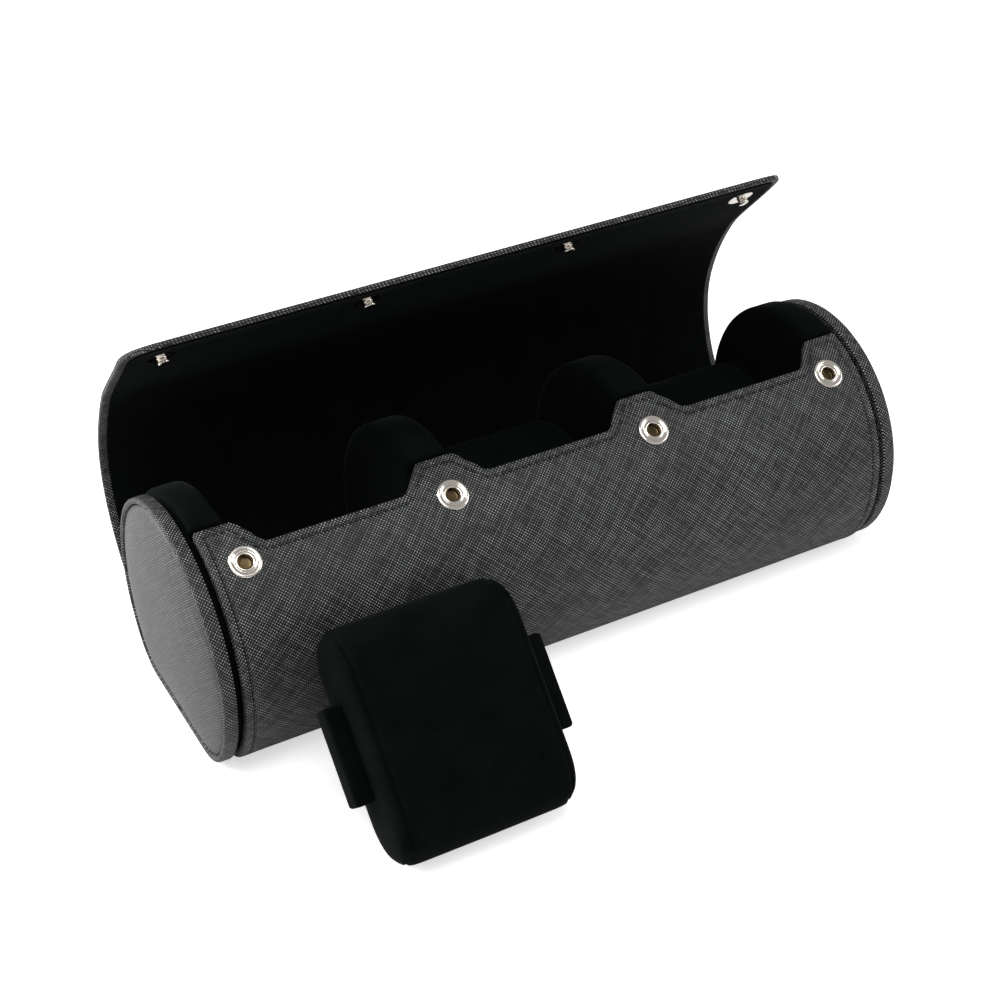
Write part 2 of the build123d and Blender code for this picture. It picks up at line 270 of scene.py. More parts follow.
turned_edge = section_of(
    (3.4, -1.75), (0.6, -1.75), (0.2, -1.58), (0, -1.15), (0, -0.6), (0.2, -0.17), (0.6, 0), (1.4, 0.07),
    (2.2, 0.04), (2.5, -0.25), (2.9, -0.25), (3.2, 0.02), (4, 0.06), (5, 0.0))
print("edge section of", len(turned_edge), "rings")

# %% [markdown]
# The body's outer leather is one strip. It starts at the front edge with four tabs for the snaps
# and straight slopes between them, and runs down the front and under the base to the rear hinge.
# The strip is 3 mm thick here because its edge is turned over the board.

# %% Body leather
tab_top, tab_foot = 9.634 * mm, 18.85 * mm
half_edge = [  # (x, whether it is at a tab's foot, corner radius)
    (108.5, 0, 1.4), (96.8, 0, 3), (90.6, 1, 3), (46.9, 1, 3), (39.7, 0, 3), (28.1, 0, 3), (20.9, 1, 3)]
front_edge = [(x * mm, -tab_foot if low else -tab_top, r * mm) for x, low, r in half_edge]
front_edge += [(-x, v, r) for x, v, r in reversed(front_edge)]
wall_corners = [(-wall_end, -rear_hinge, 0.8 * mm), (wall_end, -rear_hinge, 0.8 * mm)] + front_edge
wall_section = [(inset, height * 1.74 if height < -0.3 * mm else height) for inset, height in turned_edge]


def on_wall(x, v, h):
    """Where a point of a body pattern lies on the case."""
    return (x, *follow(case_road, -v, h))


body_skin = cut_panel("body_skin", wall_corners, wall_section, tab_top, rear_hinge)
move_points(body_skin, on_wall)
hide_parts("body_leather", "body_board")
print("body skin:", len(body_skin.data.polygons), "faces")

# %% [markdown]
# Inside the wall lies a velvet lining, glued in 2 mm short of the leather's edge. It is the same
# pattern drawn in, and it has its own soft edge.

# %% Body lining
lining_section = section_of((3.2, -2.95), (2.3, -3.0), (2.0, -3.25), (2.25, -3.5), (3.2, -3.55))
body_velvet = cut_panel("body_velvet", wall_corners, lining_section, tab_top, rear_hinge)
move_points(body_velvet, on_wall)
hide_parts("body_lining")
print("body lining:", len(body_velvet.data.polygons), "faces")

# %% [markdown]
# The lid is one stiff sheet that bends softly at four places. It is cut flat, laid round the
# closed case, and then opened. Between two bends a length turns as one piece. At a bend a smooth
# curve joins the lengths on both sides, leaving each in its own direction. The sheet is cut into
# lengths between the bends.

# %% How the lid opens
lid_bends = [
    {"crease": 0.0, "angle": 31.5, "zone": (-2, 13), "bodies": ("case", "lid_root")},
    {"crease": 38.032, "angle": 2.5, "zone": (20, 57), "bodies": ("lid_root", "lid_back")},
    {"crease": 80.046, "angle": 15, "zone": (67, 91), "bodies": ("lid_back", "lid_crown")},
    {"crease": 112.037, "angle": 35, "zone": (98, 124), "bodies": ("lid_crown", "lid_flap")},
]
lid_cuts = [19, 62, 94.5]
lid_tip = 137.3 * mm
welt = 6.3 * mm
for bend in lid_bends:
    bend["pivot"] = Vector(follow(lid_road, lid_hinge + bend["crease"] * mm, 0))


def stiff_place(along, height, bends):
    """Place (y, z) on the open lid if only its first few bends turned it, each as one sharp crease."""
    place = Vector(follow(lid_road, lid_hinge + along, height))
    for bend in reversed(lid_bends[:bends]):
        place = bend["pivot"] + Matrix.Rotation(-radians(bend["angle"]), 2) @ (place - bend["pivot"])
    return place


def soft_place(along, height, start, end, bends):
    """Place (y, z) on the smooth curve that joins the two lengths at a bend."""
    short = 0.01 * mm
    first, last = stiff_place(start, 0, bends), stiff_place(end, 0, bends + 1)
    leaving = (first - stiff_place(start - short, 0, bends)).normalized() * (end - start)
    arriving = (stiff_place(end + short, 0, bends + 1) - last).normalized() * (end - start)
    t = (along - start) / (end - start)
    place = (first * (1 + 2 * t) + leaving * t) * (1 - t) ** 2
    place += (last * (3 - 2 * t) - arriving * (1 - t)) * t * t
    run = (last - first) * 6 * t * (1 - t) + leaving * (1 - t) * (1 - 3 * t) + arriving * t * (3 * t - 2)
    return place + Vector((run.y, -run.x)).normalized() * height


def on_lid(x, v, h):
    """Where a point of a lid pattern lies on the open lid."""
    bends = sum(-v > bend["zone"][1] * mm for bend in lid_bends)
    start, end = (edge * mm for edge in lid_bends[min(bends, 3)]["zone"])
    place = soft_place(-v, h, start, end, bends) if start < -v <= end else stiff_place(-v, h, bends)
    return x, place.x, max(place.y, 0.25 * mm)


def in_lengths(piece):
    """Cuts a flat lid piece at its three cuts, and lays each length on the open lid."""
    lengths = []
    stops = [-20 * mm] + [cut * mm for cut in lid_cuts] + [past_tip]
    for bend, start, end in zip(lid_bends, stops, stops[1:]):
        part = copy_of(piece, f"{piece.name}_{bend['bodies'][1][4:]}")
        take(part)
        bpy.ops.object.mode_set(mode="EDIT")
        for edge, away in ((start, 1), (end, -1)):
            bpy.ops.mesh.select_all(action="SELECT")
            bpy.ops.mesh.bisect(
                plane_co=(0, -edge, 0), plane_no=(0, away, 0), clear_outer=True, use_fill=True)
        bpy.ops.object.mode_set(mode="OBJECT")
        move_points(part, on_lid)
        bpy.ops.object.shade_smooth_by_angle(angle=radians(40))
        lengths.append(part)
    bpy.data.objects.remove(piece)
    return lengths


def bend_between(parts):
    """Bakes each length of the lid in place; the ends of its bend are worked out but not used."""
    for part, bend in zip(parts, lid_bends):
        start, end = (Vector(on_lid(0, -edge * mm, -1.2 * mm)) for edge in bend["zone"])
        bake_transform(part)


print("open lid's tip at", [round(c / mm, 1) for c in on_lid(0, -lid_tip, 0)[1:]])

# %% [markdown]
# The lid's leather is turned over its edge all round, with two large round corners at the front.
# Near each cut between two lengths the sheet has a pair of extra scores, so that the shading runs
# on unbroken from one length to the next. Along its fixed edge the sheet is padded out to lie
# against the body, where the welt is glued.

# %% Lid leather and velvet
flap_corner = 13 * mm
glued_from, inner_side, against_body = 2.2 * mm, -1.5 * mm, -2.95 * mm
lid_corners = [(-lid_end, -lid_tip, flap_corner), (lid_end, -lid_tip, flap_corner)]
lid_corners += [(lid_end, welt, mm), (-lid_end, welt, mm)]
near_cuts = [-(cut + side) * mm for cut in lid_cuts for side in (-0.25, 0.25)]
lid_sheet = cut_panel("lid_leather", lid_corners, turned_edge, -welt, lid_tip)
score(lid_sheet, 1, near_cuts)
move_points(lid_sheet, lambda x, v, h: (x, v, against_body if v > glued_from and h < inner_side else h))
lid_leather = in_lengths(lid_sheet)
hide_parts("hinge_welt", "lid_root_leather", "lid_root_board")
for part, body in zip(lid_leather[1:], ("lid_back", "lid_crown", "lid_flap")):
    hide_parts(f"{body}_leather", f"{body}_board")

velvet_section = section_of((3.4, -1.6), (2.5, -1.68), (2.3, -1.95), (2.6, -2.2), (3.6, -2.24))
velvet_corners = lid_corners[:2] + [(x, -1 * mm, r) for x, v, r in lid_corners[2:]]
lid_lining = cut_panel("lid_velvet", velvet_corners, velvet_section, mm, lid_tip)
score(lid_lining, 1, near_cuts)
lid_velvet = in_lengths(lid_lining)
for part, body in zip(lid_velvet, ("lid_root", "lid_back", "lid_crown", "lid_flap")):
    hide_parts(f"{body}_lining")
print("lid:", sum(len(part.data.polygons) for part in lid_leather + lid_velvet), "faces")

# %% [markdown]
# A row of short stitches holds each turned edge. One stitch is modelled as a small stretched ball
# and copied along the outline drawn in to the groove, on the flat pattern, so that the row follows
# the tabs and slopes before the leather is bent.

# %% Stitches
groove = 2.7 * mm
stitch_size, stitch_pitch = (1.6 * mm, 0.4 * mm, 0.3 * mm), 2.3 * mm
under_base = -105 * mm


def stitch_row(name, corners, keep):
    """A flat row of stitches along an outline's groove, where keep(x, v) holds."""
    bpy.ops.mesh.primitive_uv_sphere_add(segments=8, ring_count=4, radius=0.5)
    stitch = named(name)
    stitch.data.transform(Matrix.Diagonal((*stitch_size, 1)))
    path = drawn_in(corners, groove, 4)
    spots, rest = [], 0.0
    for a, b in zip(path, path[1:] + path[:1]):
        run = (b - a).length
        while rest < run:
            place = a.lerp(b, rest / run)
            if keep(*place):
                spots.append((place, atan2(b.y - a.y, b.x - a.x)))
            rest += stitch_pitch
        rest -= run
    copies = []
    for place, heading in spots:
        thread = copy_of(stitch, name)
        thread.data.transform(Matrix.Translation((*place, 0)) @ Matrix.Rotation(heading, 4, "Z"))
        copies.append(thread)
    bpy.data.objects.remove(stitch)
    take(*copies)
    bpy.ops.object.join()
    row = named(name)
    bpy.ops.object.shade_smooth()
    print(name, "has", len(spots), "stitches")
    return row


body_stitches = stitch_row("body_stitches", wall_corners, lambda x, v: v > under_base)
move_points(body_stitches, on_wall)
stops = [4] + lid_cuts + [150]
lid_stitches = []
for part, start, end in zip(("root", "back", "crown", "flap"), stops, stops[1:]):
    row = stitch_row(f"lid_stitches_{part}", lid_corners, lambda x, v: start < -v / mm <= end)
    move_points(row, on_lid)
    lid_stitches.append(row)

# %% [markdown]
# The end blocks and dividers are foam and board wrapped in velvet. Their round crowns stand above
# the open front and their slim lower parts sit inside the wall. Each has a round pocket in which
# the end of a watch pillow turns. The rings run from the floor of the pocket out to the soft rim,
# over the crown and down to the far side, so that the velvet stays one skin.

# %% Blocks and dividers
crown_growth, slim_growth = 0.4 * mm, -3.7 * mm
seat_height = 33.4875 * mm
pocket_radius = 14.86 * mm
block_face, divider_middle, divider_half = 98.5 * mm, 35 * mm, 6.5 * mm
block_foot = ((0.1, -3.0), (0.2, -1.2), (0.5, -0.1), (1.1, 0.4))
block_stations = [(rear_hinge + d * mm, g * mm) for d, g in block_foot]
block_stations += [(rear_hinge + (3 + 2 * i) * mm, crown_growth) for i in range(44)]
block_stations += [((0.4 + 1.5 * i) * mm, crown_growth) for i in range(6)]
block_stations += [(a * mm, g * mm) for a, g in ((8.5, 0.1), (8.75, -0.6), (8.87, -2.2), (9.2, -3.7))]
block_stations += [((12 + 3 * i) * mm, slim_growth) for i in range(49)]
block_stations += [(rear_hinge - 0.4 * mm, slim_growth)]


def block_ring(x, inset, slim=False):
    """One ring of a block's outline at x, drawn in by an inset."""
    ring = []
    for along, growth in block_stations:
        growth = slim_growth if slim else growth
        ring.append((x, *follow(case_road, along, growth - inset)))
    return ring


def pocket_ring(x, radius):
    """One ring of the round pocket at x, point for point with the outline."""
    ring = []
    for _, y, z in block_ring(x, 0):
        angle = atan2(z - seat_height, y)
        ring.append((x, radius * cos(angle), seat_height + radius * sin(angle)))
    return ring


def pocket_side(face, into):
    """Rings from a pocket's floor to the block's soft edge. The face is at x, its block lies along into."""
    pocket = ((5.7, -1.6), (5.55, -0.5), (5.1, 0), (1.2, 0), (0.5, 0.25), (0.1, 0.9), (0, 1.8))
    soft_edge = ((-0.1, 7), (0, 3.6), (0.25, 1.9), (0.7, 0.9), (1.4, 0.3), (2.4, 0))
    rings = [pocket_ring(face + into * d * mm, pocket_radius + r * mm) for d, r in pocket]
    rings += [block_ring(face + into * d * mm, inset * mm) for d, inset in soft_edge]
    return rings


def end_block(name, side):
    """An end block, slim again where the cap's groove goes round it."""
    outer_edge = ((107.1, 0), (107.9, 0.25), (108.35, 0.8), (108.5, 1.8))
    rings = pocket_side(side * block_face, side)
    rings += [block_ring(side * x * mm, inset * mm) for x, inset in outer_edge]
    rings += [block_ring(side * x * mm, inset * mm, True) for x, inset in ((108.5, 0), (110.5, 0))]
    return build_rings(name, rings)


blocks = [end_block("end_block_velvet_left", -1), end_block("end_block_velvet_right", 1)]
for name, middle in (("divider_velvet_left", -divider_middle), ("divider_velvet_right", divider_middle)):
    first = pocket_side(middle - divider_half, 1)
    second = pocket_side(middle + divider_half, -1)
    blocks.append(build_rings(name, first + second[::-1]))
for block, node in zip(blocks, ("end_block_left", "end_block_right", "divider_left", "divider_right")):
    set_right(block, 60)
    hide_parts(node)
    print(block.name, len(block.data.polygons), "faces")

# %% [markdown]
# Each cap is a shallow cup: a leather band bent round a board, with a rolled lip that stands just
# proud of the padded face inside it. The face is thin leather over foam. Its rings draw in towards
# the middle and rise quickly near the lip, as a stuffed disc does.

# %% End caps
cap_stations = [once_round * i / 120 for i in range(120)]
face_middle = Vector((0, 32.2 * mm))
rim_place, padding = 114.1, 3.4


def cap_ring(x, growth, share=1.0):
    """One ring round a cap, shrunk towards the middle of the face."""
    ring = []
    for along in cap_stations:
        place = face_middle.lerp(Vector(follow(case_road, along, growth)), share)
        ring.append((x, *place))
    return ring


def round_cap(x, y, z):
    """A band point's place on its pattern: round the roll, and along it and inwards."""
    return atan2(y, z - crown_height) * case_radius, abs(x) - hypot(y, z - crown_height)


def build_cap(name, side):
    """The band and the padded face of one cap."""
    lip = (
        (110.55, -3), (110.55, -1.0), (110.7, -0.7), (111.1, -0.6), (113.5, -0.6), (114.2, -0.66),
        (114.6, -0.9), (114.78, -1.4), (114.75, -1.9), (114.5, -2.35), (113.9, -2.6), (113.1, -2.7))
    band = build_rings(f"cap_band_{name}", [cap_ring(side * x * mm, g * mm) for x, g in lip])
    rim = ((112.6, -7), (112.6, -2.9), (113.0, -2.7), (113.6, -2.75), (114.1, -3.0))
    rings = [cap_ring(side * x * mm, g * mm) for x, g in rim]
    for i in range(1, 20):
        share = 1 - i / 20
        rise = rim_place + padding * (1 - share**2.8) ** 0.85
        rings.append(cap_ring(side * rise * mm, -3.0 * mm, share))
    face = build_rings(f"cap_face_{name}", rings)
    for piece in (band, face):
        set_right(piece, 50)
    lay_pattern(band, round_cap)
    lay_pattern(face, lambda x, y, z: (y, z))
    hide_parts(f"end_band_{name}", f"end_board_{name}")
    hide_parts(f"end_face_{name}", f"end_foam_{name}")
    return band, face


caps = [build_cap("left", -1), build_cap("right", 1)]
print("caps:", sum(len(piece.data.polygons) for cap in caps for piece in cap), "faces")

# %% [markdown]
# The snaps are turned parts: a socket with a rolled rim and a collar round its hole on the front,
# and a stud with a necked head on the lid. A turned part is a stack of circles, so one socket and
# one stud are built from rings, softened by a subdivision, and copied to their four places. The
# leather is punched through at each socket, as it is before a real snap is set.

# %% Snap fasteners
snap_turn = radians(33.3)
snap_places = (-98.1 * mm, -33.9 * mm, 33.9 * mm, 98.1 * mm)
lid_inside = -2.22 * mm


def turned_part(name, profile):
    """A turned part from its (radius, height) profile in millimetres."""
    spokes = [(cos(pi * i / 20), sin(pi * i / 20)) for i in range(40)]
    rings = [[(r * mm * c, r * mm * s, h * mm) for c, s in spokes] for r, h in profile]
    part = build_rings(name, rings)
    set_right(part)
    modify(part, "SUBSURF", levels=1, render_levels=1)
    bpy.ops.object.shade_smooth()
    return part


def four_of(part, name, place):
    """Copies a turned part to the four snap places, as one piece."""
    copies = [copy_of(part, name) for _ in snap_places]
    for copy, x in zip(copies, snap_places):
        copy.data.transform(place(x))
    bpy.data.objects.remove(part)
    take(*copies)
    bpy.ops.object.join()
    return named(name)


def facing_out(y, z, turn, x):
    """Stands a turned part on the leather at x, leaning back by a turn about the roll."""
    return Matrix.Translation((x, y, z)) @ Matrix.Rotation(turn, 4, "X")


socket_profile = (
    (3.0, -1.9), (3.1, -0.6), (4.4, -0.35), (4.78, -0.12), (4.8, 0.08), (4.62, 0.28), (4.3, 0.37),
    (3.95, 0.36), (3.6, 0.22), (3.35, 0.06), (3.1, 0.02), (2.95, 0.1), (2.78, 0.27), (2.55, 0.34),
    (2.32, 0.3), (2.18, 0.12), (2.12, -0.2), (2.12, -1.5), (1.9, -1.65), (0.9, -1.7))
socket = turned_part("snap_socket", socket_profile)
punch = turned_part("punch", ((1, 0.9), (2.9, 0.9), (2.9, -2.3), (1, -2.3)))
front_y, front_z = follow(case_road, snap_turn * case_radius, 0)
sockets = four_of(socket, "snap_sockets_turned", lambda x: facing_out(front_y, front_z, snap_turn, x))
punches = four_of(punch, "punches", lambda x: facing_out(front_y, front_z, snap_turn, x))
modify(body_skin, "BOOLEAN", object=punches, operation="DIFFERENCE", solver="EXACT")
set_right(body_skin)
bpy.data.objects.remove(punches)
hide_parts("snap_sockets")

stud_profile = (
    (3.6, 0.5), (4.3, 0.42), (4.5, 0.25), (4.42, 0.05), (4.0, -0.08), (3.2, -0.14), (2.2, -0.12),
    (1.6, -0.2), (1.38, -0.45), (1.35, -0.9), (1.5, -1.15), (1.74, -1.4), (1.77, -1.75),
    (1.65, -2.15), (1.25, -2.36), (0.6, -2.42))
stud = turned_part("snap_stud", stud_profile)
stud_along = (side_turn + pi / 2 + snap_turn) * (case_radius + lid_growth) + crown_rise
stud_y, stud_z = stiff_place(stud_along, lid_inside, len(lid_bends))
stud_lean = snap_turn - sum(radians(bend["angle"]) for bend in lid_bends)
studs = four_of(stud, "snap_studs_turned", lambda x: facing_out(stud_y, stud_z, stud_lean, x))
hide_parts("snap_studs")
print("stud leans", round(stud_lean * 180 / pi, 1), "degrees; sockets lean", round(snap_turn * 180 / pi, 1))

# %% [markdown]
# A watch pillow is a soft roll: velvet sewn round foam, with a padded panel in each end. Real
# padding is what cloth does under a little pressure, so the roll is remeshed evenly, blown up by
# the cloth solver, and held to a small swelling. The seams are cut and pressed in afterwards,
# because remeshing would wipe them out. One pillow is made and copied to the three places.

# %% Pillow body
pillow_half, seam_inset = 28.2 * mm, 3.6 * mm
half_long, half_thick = 35 * mm, 14.5 * mm


def pillow_ring(x, inset):
    """A long oval round the pillow at x, drawn in by an inset."""
    ring = []
    for i in range(64):
        angle = 2 * pi * (i + 0.5) / 64
        middle = (half_long - half_thick) * (1 if cos(angle) > 0 else -1)
        ring.append((x, middle + (half_thick - inset) * cos(angle), (half_thick - inset) * sin(angle)))
    return ring


def swell(piece, most):
    """Blows a closed piece up with the cloth solver and holds each point to a small move."""
    take(piece)
    before = [vertex.co.copy() for vertex in piece.data.vertices]
    cloth = piece.modifiers.new("Cloth", "CLOTH")
    cloth.settings.use_pressure = True
    cloth.settings.uniform_pressure_force = 4
    cloth.settings.effector_weights.gravity = 0
    cloth.point_cache.frame_start, cloth.point_cache.frame_end = 1, 20
    for step in range(1, 21):
        bpy.context.scene.frame_set(step)
    solved = piece.evaluated_get(bpy.context.evaluated_depsgraph_get())
    after = [vertex.co.copy() for vertex in solved.data.vertices]
    piece.modifiers.remove(cloth)
    bpy.context.scene.frame_set(1)
    widest = max((b - a).length for a, b in zip(before, after))
    for vertex, a, b in zip(piece.data.vertices, before, after):
        move = b - a
        vertex.co = a + move * min(1, most / max(move.length, 1e-9))
    print(piece.name, "swelled by up to", round(widest / mm, 2), "mm, held to", round(most / mm, 2))


soft_end = ((27.9, 8), (27.5, 4.6), (26.5, 2.3), (24.6, 1.0))
roll = [(-x, inset) for x, inset in soft_end] + [(0, 0.9)] + list(soft_end[::-1])
pillow = build_rings("pillow_velvet", [pillow_ring(x * mm, inset * mm) for x, inset in roll])
set_right(pillow)
modify(pillow, "REMESH", mode="VOXEL", voxel_size=3 * mm)
swell(pillow, most=1.1 * mm)
modify(pillow, "SUBSURF", levels=1, render_levels=1)
print("pillow:", len(pillow.data.polygons), "faces")

# %% [markdown]
# Each end panel is sewn in with a seam a few millimetres from the end. Five loops are cut there,
# the middle ones are drawn in, and the velvet rolls into the seam on both sides.

# %% Pillow seams
seam_at = pillow_half - seam_inset
seam_width, seam_depth = 0.9 * mm, 0.75 * mm
score(pillow, 0, [side * (seam_at + d * mm) for side in (-1, 1) for d in (-0.9, -0.35, 0, 0.35, 0.9)])


def pressed_in(x, y, z):
    """Draws the velvet in towards the seam."""
    depth = max(0, 1 - abs(abs(x) - seam_at) / seam_width) * seam_depth
    reach = Vector((y - max(min(y, half_long - half_thick), half_thick - half_long), z))
    if reach.length < half_thick * 0.6:
        return x, y, z
    reach = reach.normalized() * depth
    return x, y - reach.x, z - reach.y


move_points(pillow, pressed_in)
set_right(pillow, 75)
print("seams pressed in at", round(seam_at / mm, 1), "mm from the middle")

# %% [markdown]
# A flat wing of stiff board in velvet stands out of each end. It has crisp folded edges, and the
# velvet is drawn together where it goes into the end panel.

# %% Pillow wings
wing_half_long, wing_half_thick, wing_rounding = 14 * mm, 4 * mm, 1.2 * mm


def wing_ring(x, inset):
    """A rounded rectangle round a wing at x."""
    corners = [(sy * wing_half_long, sz * wing_half_thick, wing_rounding)
               for sy, sz in ((-1, -1), (1, -1), (1, 1), (-1, 1))]
    return [(x, *point) for point in drawn_in(corners, inset * mm, 5)]


def build_wings(name):
    """The two wings of a pillow, as one piece at the pillow's own middle."""
    shape = (
        (26.5, 0.9), (28.1, 0.9), (28.5, 0.35), (29.2, 0.05),
        (32.4, 0), (33.1, 0.12), (33.5, 0.5), (33.6, 1.0))
    halves = []
    for side in (-1, 1):
        half = build_rings(name, [wing_ring(side * x * mm, inset) for x, inset in shape])
        set_right(half, 45)
        halves.append(half)
    take(*halves)
    bpy.ops.object.join()
    return named(name)


wings = build_wings("pillow_wings_velvet")
loose_place, loose_lean = (-61 * mm, -68.26 * mm, 29.2957 * mm), radians(45)
seats = {
    "middle_pillow": Matrix.Translation((0, 0, seat_height)),
    "right_pillow": Matrix.Translation((70 * mm, 0, seat_height)),
    "loose_pillow": Matrix.Translation(loose_place) @ Matrix.Rotation(loose_lean, 4, "X"),
}
pillows = []
for body, seat in seats.items():
    for part, node_names in ((pillow, ("core", "cover", "ends")), (wings, ("wings",))):
        piece = copy_of(part, f"{body}_{part.name[7:]}")
        piece.data.transform(seat)
        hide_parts(*[f"{body}_{node}" for node in node_names])
        pillows.append((piece, body))
bpy.data.objects.remove(pillow)
bpy.data.objects.remove(wings)
print("pillow pieces:", [piece.name for piece, body in pillows])

# %% [markdown]
# Materials come next. Cross-grained leather is pressed with two crossing sets of fine ridges that
# run at an angle to the edges and break up here and there. Both leathers use the same grain, so it
# is a node group with its own inputs. It reads the flat pattern's UV map, so the ridges keep their
# size as the leather bends.

# %% Node helpers and the grain group


def put(tree, kind, inputs=None, **settings):
    """Adds a node, sets its options, and fills or links its inputs."""
    made = tree.nodes.new(kind)
    for key, value in settings.items():
        setattr(made, key, value)
    for key, value in (inputs or {}).items():
        if isinstance(value, bpy.types.NodeSocket):
            tree.links.new(value, made.inputs[key])
        else:
            made.inputs[key].default_value = value
    return made


def calc(tree, operation, a, b=0.0, c=0.0, clamp=False):
    """A Math node's result."""
    return put(tree, "ShaderNodeMath", {0: a, 1: b, 2: c}, operation=operation, use_clamp=clamp).outputs[0]


def new_group(name, inputs, outputs):
    """An empty node group with named sockets, and its input and output nodes."""
    group = bpy.data.node_groups.new(name, "ShaderNodeTree")
    for socket, kind, value in inputs:
        made = group.interface.new_socket(name=socket, in_out="INPUT", socket_type=kind)
        if value is not None:
            made.default_value = value
    for socket in outputs:
        group.interface.new_socket(name=socket, in_out="OUTPUT", socket_type="NodeSocketFloat")
    return group, group.nodes.new("NodeGroupInput"), group.nodes.new("NodeGroupOutput")


grain, g_in, g_out = new_group("cross_grain", [
    ("Vector", "NodeSocketVector", None),
    ("Pitch", "NodeSocketFloat", 0.00075),
    ("Wander", "NodeSocketFloat", 0.7),
], ["Height", "Hollows"])
lean_x, lean_y = 0.7, 0.72
at = put(grain, "ShaderNodeSeparateXYZ", {0: g_in.outputs["Vector"]})
per_length = calc(grain, "DIVIDE", 1.0, g_in.outputs["Pitch"])
ridges = []
for sign, offset in ((1, 0.0), (-1, 7.3)):
    shifted = put(
        grain, "ShaderNodeVectorMath", {0: g_in.outputs["Vector"], 1: (offset, 0, 0)}, operation="ADD")
    drift = put(grain, "ShaderNodeTexNoise", {
        "Vector": shifted.outputs[0], "Scale": calc(grain, "MULTIPLY", per_length, 0.16), "Detail": 2.0})
    across_x = calc(grain, "MULTIPLY", at.outputs["X"], lean_x)
    across = calc(grain, "MULTIPLY_ADD", at.outputs["Y"], lean_y * sign, across_x)
    along_x = calc(grain, "MULTIPLY", at.outputs["X"], lean_y)
    along = calc(grain, "MULTIPLY_ADD", at.outputs["Y"], -lean_x * sign, along_x)
    turns = calc(grain, "MULTIPLY", across, per_length)
    wander = calc(grain, "MULTIPLY", drift.outputs["Fac"], g_in.outputs["Wander"])
    phase = calc(grain, "MULTIPLY", calc(grain, "ADD", turns, wander), 2 * pi)
    wave = calc(grain, "MULTIPLY_ADD", calc(grain, "SINE", phase), 0.5, 0.5)
    ridge = calc(grain, "POWER", wave, 1.5)
    lines = put(grain, "ShaderNodeCombineXYZ", {
        0: calc(grain, "MULTIPLY", turns, 0.8),
        1: calc(grain, "MULTIPLY", calc(grain, "MULTIPLY", along, per_length), 0.07), 2: offset})
    press = put(grain, "ShaderNodeTexNoise", {"Vector": lines.outputs[0], "Scale": 1.0, "Detail": 1.0})
    strength = put(grain, "ShaderNodeMapRange", {
        "Value": press.outputs["Fac"], "From Min": 0.35, "From Max": 0.62, "To Min": 0.55, "To Max": 1.0})
    ridges.append(calc(grain, "MULTIPLY", ridge, strength.outputs[0]))
either = calc(grain, "ADD", *ridges)
crossing = calc(grain, "MULTIPLY", *ridges)
height = calc(grain, "MULTIPLY_ADD", either, 0.22, calc(grain, "MULTIPLY", crossing, 0.56))
grain.links.new(height, g_out.inputs["Height"])
grain.links.new(calc(grain, "SUBTRACT", 1.0, height), g_out.inputs["Hollows"])
print("grain group has", len(grain.nodes), "nodes")

# %% [markdown]
# A second group gives slow change over a surface: handling marks, a little dust and uneven dye.
# Every material takes it with its own size and strength, so that none is one flat colour.

# %% Handling group
handling, h_in, h_out = new_group("handling", [
    ("Vector", "NodeSocketVector", None),
    ("Size", "NodeSocketFloat", 0.03),
    ("Contrast", "NodeSocketFloat", 1.0),
], ["Patches", "Specks"])
per_size = calc(handling, "DIVIDE", 1.0, h_in.outputs["Size"])
slow = put(handling, "ShaderNodeTexNoise", {
    "Vector": h_in.outputs["Vector"], "Scale": per_size, "Detail": 4.0, "Roughness": 0.6})
centred = calc(handling, "SUBTRACT", slow.outputs["Fac"], 0.5)
spread = calc(handling, "MULTIPLY", centred, h_in.outputs["Contrast"])
fine = put(handling, "ShaderNodeTexNoise", {
    "Vector": h_in.outputs["Vector"], "Scale": calc(handling, "MULTIPLY", per_size, 40.0), "Detail": 2.0})
specks = put(handling, "ShaderNodeMapRange", {
    "Value": fine.outputs["Fac"], "From Min": 0.66, "From Max": 0.76})
handling.links.new(calc(handling, "ADD", spread, 0.5, clamp=True), h_out.inputs["Patches"])
handling.links.new(specks.outputs[0], h_out.inputs["Specks"])
print("handling group has", len(handling.nodes), "nodes")

# %% [markdown]
# The leathers share one recipe: a dark dye, painted darker in the hollows of the grain as shade and
# painted light on its ridges as a highlight that is uneven in patches, a satin gloss, and a bump from
# the grain. The finer leather of the cap faces has a smaller pitch and a greyer painted highlight.

# %% Leather materials


def new_material(name):
    """An empty material: its tree, its shader and a texture coordinate node."""
    material = bpy.data.materials.new(name)
    material.use_nodes = True
    tree = material.node_tree
    shader = tree.nodes["Principled BSDF"]
    return material, tree, shader, put(tree, "ShaderNodeTexCoord")


def use_group(tree, group, vector, **inputs):
    """Places a node group in a material."""
    made = put(tree, "ShaderNodeGroup", node_tree=group)
    tree.links.new(vector, made.inputs["Vector"])
    for key, value in inputs.items():
        made.inputs[key].default_value = value
    return made


def blend_of(tree, share, low, high):
    """A colour between two colours."""
    return put(tree, "ShaderNodeMix", {0: share, 6: (*low, 1), 7: (*high, 1)}, data_type="RGBA").outputs[2]


